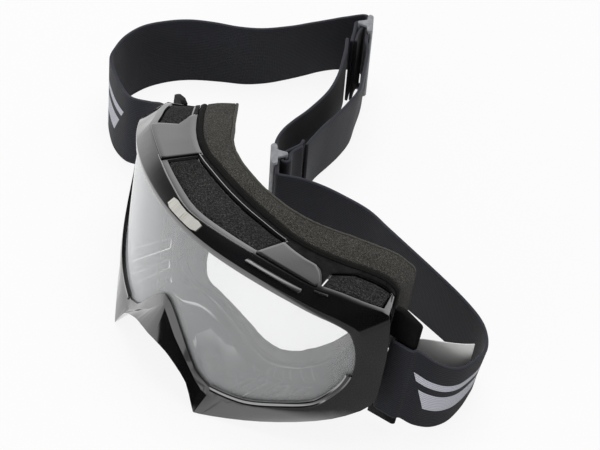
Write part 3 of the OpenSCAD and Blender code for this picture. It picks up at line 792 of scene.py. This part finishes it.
def panel(name, s0, s1, proud=0.25, material=MATTE_BLACK_AND_SHADE, parts=(30, 4), sink=0.3):
    """Thin panel between two borders, s0 and s1, each a list of (u, s) with the same two ends in u."""
    stations = np.linspace(s0[0][0], s0[-1][0], parts[0] + 1)
    low, high = (np.interp(stations, *np.array(line, float).T) for line in (s0, s1))
    t = np.linspace(0, 1, parts[1] + 1)
    heights = lerp(low[:, None], high[:, None], t).ravel()
    places, _, normal = skin_frame(np.repeat(stations, len(t)), heights)
    points = stood(np.vstack([places + normal * proud, places - normal * sink]))
    obj = add_mesh(name, points, slab_faces(*parts))
    face_outward(obj)
    soften(obj, PANEL_ROUND)
    return finish_piece(obj, material, "goggles", "frame_plastic")


def level(u0, u1, s):
    """A line of points with one s."""
    return [(u, s) for u in np.linspace(u0, u1, LEVEL_POINTS)]


PROUD_PARTS = (16, 8)
BACK_EDGE = [(2.1, 0.79), (3.35, 0.61), (3.6, 0.43), (3.95, 0.09)]
panel("bridge_panel_right", level(-3.92, -2.1, 0.03), level(-3.92, -2.1, 0.95), 0.9, GLOSS, PROUD_PARTS)
panel("bridge_panel_left", [(2.1, 0.07), (3.95, 0.05)], BACK_EDGE, 0.9, GLOSS, PROUD_PARTS)
# Thin matte black sheets on the wall behind the panels and the vent windows: painted shade, where the frame
# lies in shade
panel("painted_shade_left", [(2.1, 0.82), (3.35, 0.65), (3.6, 0.5), (3.98, 0.14)], level(2.1, 3.98, 1.0),
      parts=(20, 8))
panel("painted_shade_side", level(3.98, 7.0, 0.88), level(3.98, 7.0, 1.0))
panel("window_step", [(-2.1, 0.05), (-1.86, 0.17)], [(-2.1, 0.94), (-1.86, 0.84)], -0.1,
      parts=(3, 8), sink=1.2)
panel("painted_shade_centre", level(-2.05, 2.1, 0.92), level(-2.05, 2.1, 1.0))
panel("painted_shade_right", level(-7.0, -4.0, 0.9), level(-7.0, -4.0, 1.0))
moulding("window_ridge", level(-2.15, 1.98, 0.892), [(-0.5, -0.2), (-0.45, 0.8), (0.5, 0.62), (0.55, -0.2)])
moulding("crest_line", level(-2.4, 2.05, 0.015), [(-0.35, -0.2), (-0.3, 0.32), (0.35, 0.2), (0.35, -0.2)])
moulding("brow_bar", level(2.22, 3.9, -0.5),
         [(-1.25, -0.2), (-1.2, 1.75), (-1.0, 1.8), (1.2, 0.1), (1.2, -0.2)])
moulding("brow_tick", level(4.2, 4.75, -0.15), [(-0.5, -0.2), (-0.45, 0.8), (0.5, 0.1), (0.5, -0.2)])
CHEEK_PATH = ((13.95, -1.75), (13.2, -1.95), (12, -2.0), (11, -2.0), (10, -2.0), (9.2, -1.95))
CHEEK_SECTION = [(-3.0, -0.1), (-2.2, 1.2), (-0.6, 0.7), (-0.5, 0.1), (0.3, 0.7), (0.6, -0.2)]
for name, side in (("cheek_rim_right", -1), ("cheek_rim_left", 1)):
    moulding(name, [(side * u, s) for u, s in CHEEK_PATH], CHEEK_SECTION)

# Straps, as in the source
# A run is a list of points: x, y and z of the strap's lower edge, and how far its upper edge leans in
# x and y. BASE is the height of the table, and HUNG that of a strap's lower edge in a slide. A slide
# has the x, y and turn of the strap's straight run through it.
STRAP_W, STRAP_T = 43.0, 1.8
ADJ_L, ADJ_RAIL, ADJ_PLAY, ADJ_TRAVEL = 17.0, 2.0, 0.3, 4
BASE, TABLE_GAP = -52.3, 0.2
HUNG = BASE + ADJ_RAIL + ADJ_PLAY + TABLE_GAP
LEFT_ADJ, RIGHT_ADJ = (-50, 98, -35.5), (-111.5, 206.8, 138.8)
RIGGER_T, RIGGER_LEN, SLOT_LOW, SLOT_PLAY = 3.2, 12.0, -31.2, 0.8
RIGGER_ROOT, RIGGER_TURN = (86.6, 60), math.radians(20)
STRAIGHT = ADJ_L / 2 + ADJ_TRAVEL
STRAP_OFF = STRAP_T / 2 + 0.5
RIGHT_LAP, LEFT_LAP = 8.7 + STRAP_T + GAP, 13.6 + STRAP_T


def turned(root, angle, u, v):
    """Point at u along and v across a line that starts at root."""
    c, s = math.cos(angle), math.sin(angle)
    return root[0] + u * c - v * s, root[1] + u * s + v * c


def hung(adj, u, v=0.0):
    """Point of a run at u along a slide and v beside it."""
    return [*turned(adj, math.radians(adj[2]), u, v), HUNG, 0, 0]


def slot_run(u, v, side):
    """Point of a run at u along an outrigger plate and v off it."""
    place = leaned(np.array([*turned(RIGGER_ROOT, RIGGER_TURN, u, v), SLOT_LOW + SLOT_PLAY]))
    return [side * place[0], place[1], place[2], 0, STRAP_W * math.sin(LEAN)]


def run_from_slot(side):
    """The strap's start: out through the slot, round the bar and back on the plate's outside."""
    return [slot_run(u, v, side) for u, v in (
        (10, RIGGER_T + STRAP_OFF), (5, RIGGER_T + STRAP_OFF), (1.2, RIGGER_T + STRAP_OFF - 0.2),
        (0.4, RIGGER_T / 2), (1.2, -STRAP_OFF + 0.2), (5, -STRAP_OFF),
        (RIGGER_LEN - 1, -STRAP_OFF), (RIGGER_LEN + STRAP_OFF, 0.6))]


LEFT_RUN = run_from_slot(1) + [
    [102.5, 66, -44.5, 2.5, 6], [105, 75, -50, 3.5, 4.5], [105.5, 85, BASE, 4.5, 1.5],
    [103.5, 94, BASE, 6, 0], [100, 102.5, BASE, 7.5, -1.5], [95.5, 110.5, BASE, 6, -3.5],
    [87, 116.5, BASE, 5, -5], [74, 118, BASE, 3, -4.5], [56, 117.5, BASE, 1, -3.5],
    [38, 116.5, BASE, 0, -2.5], [20, 115.5, BASE, 0, -1.5], [6, 114, BASE, 0, 0],
    [-8, 110.5, BASE, 0, 0], [-20, 105.5, -51.5, 0, 0], [-30, 98.5, -50, 0, 0], [-36.5, 92.6, HUNG, 0, 0],
] + [hung(LEFT_ADJ, k * STRAIGHT) for k in (1, 0.5, 0, -0.5, -1)] + [
    [-66, 113, HUNG, 1, 0], [-69, 122, HUNG, 1, 0], [-73, 135, HUNG, 2, 0], [-79, 152, HUNG, 2, 0],
    [-87, 165, HUNG, 2, 0], [-95.5, 176, HUNG, 1, 0],
] + [hung(RIGHT_ADJ, u, RIGHT_LAP) for u in (-20, -13)]
RIGHT_RUN = run_from_slot(-1) + [
    [-103, 61.5, -41, -1, 6.5], [-112, 62, -44, -1, 6], [-121, 61, -48, 0, 5.5], [-132, 58, -51.3, -1, 4.5],
    [-145, 59, BASE, -2, 5.5], [-158, 64, BASE, -2, 4.5], [-167, 69.5, BASE, -1, 2.5],
    [-173.5, 77, BASE, 0, 1], [-178.5, 88, BASE, -1.5, 1], [-180.5, 102, BASE, -2, 0.5],
    [-178, 116, BASE, -1, 0], [-172, 128.5, BASE, -1, -1], [-162, 141, BASE, -2, -3.5],
    [-152, 152, BASE, -1, -5], [-146, 163, BASE, 2, -5], [-142.5, 174, BASE, 5, -2],
    [-139.8, 185, BASE, 6, -1], [-137.5, 196, BASE, 7, -1], [-133.8, 205.5, BASE, 6, -2],
    [-128.8, 211, -51.5, 4, -2], [-123.5, 213.8, -50.5, 2, -1],
] + [hung(RIGHT_ADJ, u * ADJ_L + 0.5 * np.sign(u)) for u in (0.5, 0.25, 0, -0.4, -0.8)] + [
    [-97.5, 194.5, HUNG, 2, 0], [-91.5, 188, HUNG, 3, 0], [-83.5, 178, HUNG, 4.5, 0],
    [-75, 167.5, HUNG, 5.5, 0], [-69.5, 156, HUNG, 5.5, 0], [-66, 145.5, HUNG, 6, 0],
    [-62.5, 134, HUNG, 6, 0], [-57, 124, HUNG, 4.5, 0],
] + [hung(LEFT_ADJ, -9.8, LEFT_LAP)]
# A sewn end's way round the middle bar
WRAP = [(-0.5, 2.5), (2.4, 2.6), (3.7, 4.6), (2.4, 6.5), (-0.5, 6.7)]


def sewn_end(adj, start, end):
    """A strap's end: to the middle bar of a slide, round it and back."""
    return [hung(adj, u, v) for u, v in (*start, *WRAP, *end)]


RIGHT_END = sewn_end(LEFT_ADJ, [(-13.4, 13.9), (-10.4, 12.6), (-7.5, 9.0), (-4.4, 4.9), (-2.4, 3)],
                     [(-3.2, 7.4), (-6, 9.7), (-8.8, 13.4)])
LEFT_END = sewn_end(RIGHT_ADJ, [(-15, 5.8), (-9, 5.1), (-4.6, 3.9), (-2.4, 2.9)],
                    [(-5, 7), (-10, 7.6), (-15.5, 8.2)])
LABEL_RUN = [[91, 71.2, -30.6, 0, 4], [93.5, 74, -30.6, 0, 4], [98.5, 80, -31, 0, 3],
             [103, 87, -31.6, 1, 2], [105.3, 93, -32.2, 2, 1]]
LABEL_W, LABEL_T = 30.0, 0.5

# Points across a selvedge and between both; the edge's thickness, roll and groove as shares of the
# strap's; the label's ripples; steps from one point of a run to the next; and the stitches, each a
# list of places along it with the radius there
SELVEDGE, MIDDLE_POINTS = (0, 0.12, 0.45, 1.0, 1.7), 9
EDGE_SHARE, ROLL_SHARE, GROOVE_SHARE, RIPPLE = 0.35, 0.35, 0.14, (7.0, 9.0)
STRAP_STEPS, END_STEPS, LABEL_STEPS = 6, 4, 8
STITCH_PITCH, STITCH_START, STITCH_END = 2.9, 3.2, 3
STITCH, STITCH_SIDES = ((0, 0.12), (0.3, 0.3), (1.8, 0.3), (2.1, 0.12)), 6


def smooth_run(run, k):
    """A run with k steps from one of its points to the next."""
    p = np.array(run, float)
    n = len(p) - 1
    out = []
    for i in range(n):
        a, b, c, d = p[max(i - 1, 0)], p[i], p[i + 1], p[min(i + 2, n)]
        for s in range(k):
            out.append(hermite(b, c, (c - a) / 2, (d - b) / 2, s / k))
    out.append(p[n])
    return np.array(out)


def run_frame(run, thick):
    """Lower edge, upward direction and half-thickness direction along a run."""
    up = unit(np.stack([run[:, 3], run[:, 4],
                        np.sqrt(STRAP_W**2 - run[:, 3]**2 - run[:, 4]**2)], 1))
    after = np.vstack([run[1:], run[-1:]])
    before = np.vstack([run[:1], run[:-1]])
    forward = after[:, :3] - before[:, :3]
    forward[:, 2] = 0
    side = unit(np.cross(up, unit(forward))) * thick / 2
    low = run[:, :3].copy()
    low[:, 2] = np.maximum(low[:, 2], BASE + np.abs(side[:, 2]))
    return low, up, side


def band(name, run, width, thick, steps, material, body, slot, node, wave=0.0, edge=1.6, outside=0):
    """Flat webbing along a run: rounded selvedges, and a run attribute for the weave.

    steps is the count of steps from one point of the run to the next. outside is the side of the
    print: 1, -1 or 0 for none. wave is the height of ripples, and edge the width of a selvedge.
    """
    route = smooth_run(run, steps)
    low, up, side = run_frame(route, thick)
    grid = [edge * s / SELVEDGE[-1] for s in SELVEDGE]
    mids = list(np.linspace(edge * 1.8, width - edge * 1.8, MIDDLE_POINTS))
    across = grid + mids + [width - g for g in grid[::-1]]

    def half(v):
        inset = min(v, width - v)
        if inset <= 0:
            return EDGE_SHARE
        lip = EDGE_SHARE + (1 - EDGE_SHARE) * min(1, math.sqrt(min(1, inset / (thick * ROLL_SHARE))))
        groove = GROOVE_SHARE * math.exp(-((inset - edge * 1.25) / (edge * 0.3))**2)
        return lip - groove

    length = np.r_[0, np.cumsum(np.linalg.norm(np.diff(low, axis=0), axis=1))]
    points, weave, printed = [], [], []
    for i in range(len(route)):
        for way in (1, -1):
            for v in across[::way]:
                phase = length[i] / RIPPLE[0] + v / RIPPLE[1]
                ripple = wave * math.sin(phase) * math.sin(math.pi * v / width)
                points.append(low[i] + up[i] * v + side[i] * (way * half(v)) + unit(side[i]) * ripple)
                weave.append((length[i] / 1000, v / 1000, abs(2 * v / width - 1)))
                printed.append(float(way == outside))
    n, m = len(route), 2 * len(across)
    faces = tube_faces(n, m, ends="open")
    for b, turn in ((0, -1), ((n - 1) * m, 1)):
        faces += [(b + j, b + j + 1, b + m - 2 - j, b + m - 1 - j)[::turn] for j in range(len(across) - 1)]
    obj = add_mesh(name, np.array(points) + SHIFT, faces)
    face_outward(obj)
    attribute = obj.data.attributes.new("run", "FLOAT_VECTOR", "POINT")
    attribute.data.foreach_set("vector", np.array(weave).ravel())
    obj.data.attributes.new("print", "FLOAT", "POINT").data.foreach_set("value", printed)
    return finish_piece(obj, material, body, slot, node)


def stitches(name, run, rows, body, faces_out=1):
    """Sewing thread: rows of short rounded stitches across a strap, standing a little proud of it."""
    low, up, side = run_frame(smooth_run(run, STRAP_STEPS), STRAP_T)
    points, faces = [], []
    for row in rows:
        at = int(row * STRAP_STEPS)
        forward = unit(low[at + 1] - low[at - 1])
        out = unit(side[at]) * faces_out
        for start in np.arange(STITCH_START, STRAP_W - STITCH_END, STITCH_PITCH):
            faces += tube_faces(len(STITCH), STITCH_SIDES, len(points))
            for place, radius in STITCH:
                centre = low[at] + up[at] * (start + place) + out * (STRAP_T / 2 - 0.02)
                for j in range(STITCH_SIDES):
                    turn = 2 * math.pi * j / STITCH_SIDES
                    x, y = radius * math.cos(turn), radius * math.sin(turn)
                    points.append(centre + forward * x + out * y)
    obj = add_mesh(name, np.array(points) + SHIFT, faces)
    face_outward(obj)
    return finish_piece(obj, THREAD, body, "webbing")


stitches("strap_left_stitches", LEFT_RUN, (0.6,), "goggles", -1)
stitches("strap_right_stitches", RIGHT_RUN, (0.6, 6.4), "goggles")
stitches("left_end_stitches", LEFT_END, (0.6, 1.0), "right_adjuster")
stitches("right_end_stitches", RIGHT_END, (0.6, 1.0), "left_adjuster")
for name, run, k, material, body, node, outside in (
        ("strap_left_webbing", LEFT_RUN, STRAP_STEPS, WEB_LEFT, "goggles", "strap_left", -1),
        ("strap_right_webbing", RIGHT_RUN, STRAP_STEPS, WEB_RIGHT, "goggles", "strap_right", 1),
        ("strap_left_sewn_end", LEFT_END, END_STEPS, WEB, "right_adjuster", "strap_left_end", 0),
        ("strap_right_sewn_end", RIGHT_END, END_STEPS, WEB, "left_adjuster", "strap_right_end", 0)):
    band(name, run, STRAP_W, STRAP_T, k, material, body, "webbing", node, outside=outside)
band("care_label_tape", LABEL_RUN, LABEL_W, LABEL_T, LABEL_STEPS, TAPE, "goggles", "label_white",
     "care_label", wave=0.15, edge=0.6)

# Slides: the place of the middle bar, the bars, the top and rounding of the rails, and their lobe
MID_BAR, BAR_T, BAR_RADII, BAR_SIDES, BAR_RINGS = 3.65, 2, (1.05, 0.98), 20, 9
RAIL_TOP, RAIL_ROUND, RAIL_STEPS, LOBE = 0.3, 1.7, 24, 2.1


def slide(name, adj, body, node):
    """Strap slide: slim rounded rails with a lobe for the middle bar, and three rounded bars."""
    turn = math.radians(adj[2])
    forward = np.array([math.cos(turn), math.sin(turn), 0])
    aside = np.array([-math.sin(turn), math.cos(turn), 0])
    foot = np.array([adj[0], adj[1], HUNG - ADJ_PLAY])
    inner = STRAP_W + 2 * ADJ_PLAY
    low, mid = -STRAP_T / 2 - ADJ_PLAY - BAR_T, MID_BAR + BAR_T
    half, waist = ADJ_L / 2 - 0.6, RAIL_TOP - RAIL_ROUND
    points, faces = [], []

    def solid(rings):
        faces.extend(tube_faces(len(rings), len(rings[0]), len(points)))
        for ring in rings:
            points.extend(ring)

    def at(u, v, z):
        return foot + forward * u + aside * v + np.array([0, 0, z])

    outline = []
    for k in range(RAIL_STEPS + 1):
        u = half * math.cos(math.pi * k / RAIL_STEPS)
        lobe = (mid - RAIL_TOP) * math.exp(-(u / LOBE)**4)
        outline.append((u, waist + RAIL_ROUND * (1 - (u / half)**8)**0.5 + lobe))
    for k in range(1, RAIL_STEPS):
        u = -half * math.cos(math.pi * k / RAIL_STEPS)
        outline.append((u, waist - (waist - low) * (1 - (u / half)**8)**0.5))
    rounding = ((0, 0.45), (0.2, 0.12), (0.5, 0))
    rounding += tuple((ADJ_RAIL - z, cut) for z, cut in rounding[::-1])
    for z0 in (-ADJ_RAIL, inner):
        solid([[at(u - math.copysign(min(cut, abs(u)), u), v - (cut if v > waist else -cut), z0 + z)
                for u, v in outline] for z, cut in rounding])
    for u, v in ((-half + 1.1, low + 1), (half - 1.1, low + 1), (0, mid - 1)):
        ring = [(u + BAR_RADII[0] * math.cos(t), v + BAR_RADII[1] * math.sin(t))
                for t in np.linspace(0, 2 * math.pi, BAR_SIDES, endpoint=False)]
        solid([[at(x, y, z) for x, y in ring]
               for z in np.linspace(-ADJ_RAIL / 2, inner + ADJ_RAIL / 2, BAR_RINGS)])
    obj = add_mesh(name, np.array(points) + SHIFT, faces)
    face_outward(obj)
    soften(obj, 0)
    return finish_piece(obj, GREY, body, "adjuster_grey", node)


slide("adjuster_left_slide", LEFT_ADJ, "left_adjuster", "adjuster_left")
slide("adjuster_right_slide", RIGHT_ADJ, "right_adjuster", "adjuster_right")

# Floor and light, in metres
FLOOR_HALF, FLOOR_DROP, FLOOR_GLOW = 4.0, 0.0002, 0.88
FADE_START, FADE_END, FADE_SHARE = 0.118, 0.14, 0.9
WORLD_LEVEL = 0.4


def floor():
    """White floor that keeps the shadows. Beside the frame's left end its reflection fades out."""
    mesh = bpy.data.meshes.new("floor")
    half = FLOOR_HALF
    corners = [(-half, -half, 0), (half, -half, 0), (half, half, 0), (-half, half, 0)]
    mesh.from_pydata(corners, [], [(0, 1, 2, 3)])
    obj = bpy.data.objects.new("floor", mesh)
    obj.location.z = -FLOOR_DROP
    scene.collection.objects.link(obj)
    g = Mat("floor_white", (0.86, 0.86, 0.86, 1), 0.9, Specular_IOR_Level=0.0)
    ray = g.new("LightPath").outputs
    seen = g.math("MAXIMUM", ray["Is Camera Ray"], ray["Is Glossy Ray"])
    seen = g.math("MAXIMUM", seen, ray["Is Transmission Ray"])
    x = g.parts(g.new("TexCoord").outputs["Object"])["X"]
    fade = g.to_range(x, 0.0, FADE_SHARE, FADE_START, FADE_END)
    glow = g.new("Emission")
    lit = g.math("SUBTRACT", 1.0, g.math("MULTIPLY", fade, ray["Is Glossy Ray"]))
    g.link(lit, glow.inputs["Strength"])
    mix = g.new("MixShader")
    g.link(g.math("MULTIPLY", seen, FLOOR_GLOW), mix.inputs[0])
    g.link(g.shader.outputs[0], mix.inputs[1])
    g.link(glow.outputs[0], mix.inputs[2])
    g.link(mix.outputs[0], g.tree.nodes["Material Output"].inputs["Surface"])
    mesh.materials.append(g.material)


def world():
    """White to the camera; in reflections a bright sweep behind and low in front, dark above the camera."""
    w = bpy.data.worlds.new("studio")
    w.use_nodes = True
    scene.world = w
    g = Tree(w.node_tree)
    ray = g.new("LightPath").outputs
    x, y, z = g.parts(g.new("TexCoord").outputs["Generated"])

    def ramp(value, lo, hi, a, b):
        """Goes softly from a at lo to b at hi."""
        return g.to_range(value, a, b, lo, hi, "SMOOTHSTEP")

    toward = g.math("ADD", g.math("MULTIPLY", x, 0.77), g.math("MULTIPLY", y, -0.64))
    front = g.math("MULTIPLY", ramp(z, 0.02, 0.12, 0.95, 0.02), ramp(x, 0.55, 0.8, 1.0, 0.2))
    back = ramp(z, 0.28, 0.7, 1.05, 0.08)
    side = ramp(toward, -0.45, -0.1, 0.0, 1.0)
    glossy = g.math("ADD", g.math("MULTIPLY", back, g.math("SUBTRACT", 1.0, side)),
                    g.math("MULTIPLY", front, side))
    seen = g.math("MAXIMUM", ray["Is Camera Ray"], ray["Is Transmission Ray"])
    is_gloss = ray["Is Glossy Ray"]
    plain = g.math("MULTIPLY", g.math("SUBTRACT", 1.0, is_gloss), WORLD_LEVEL)
    level = g.math("ADD", plain, g.math("MULTIPLY", is_gloss, glossy))
    light = w.node_tree.nodes["Background"]
    g.link(g.math("MAXIMUM", level, seen), light.inputs["Strength"])
    light.inputs["Color"].default_value = (1, 1, 1, 1)


def lamp(name, at, to, size, watts):
    """Area lamp that doesn't show in reflections; places and sizes are in metres."""
    data = bpy.data.lights.new(name, "AREA")
    data.shape = "RECTANGLE"
    data.size, data.size_y = size
    data.energy = watts
    obj = bpy.data.objects.new(name, data)
    obj.location = at
    obj.rotation_euler = (Vector(to) - Vector(at)).to_track_quat("-Z", "Y").to_euler()
    obj.visible_glossy = False
    scene.collection.objects.link(obj)


floor()
world()
lamp("overhead", (-0.1, 0.25, 1.5), (0, 0, 0), (1.2, 0.9), 13)
lamp("front", (0.25, -1.5, 0.45), (0, 0, 0.05), (1.2, 0.4), 7)

scene.view_settings.view_transform = "Standard"
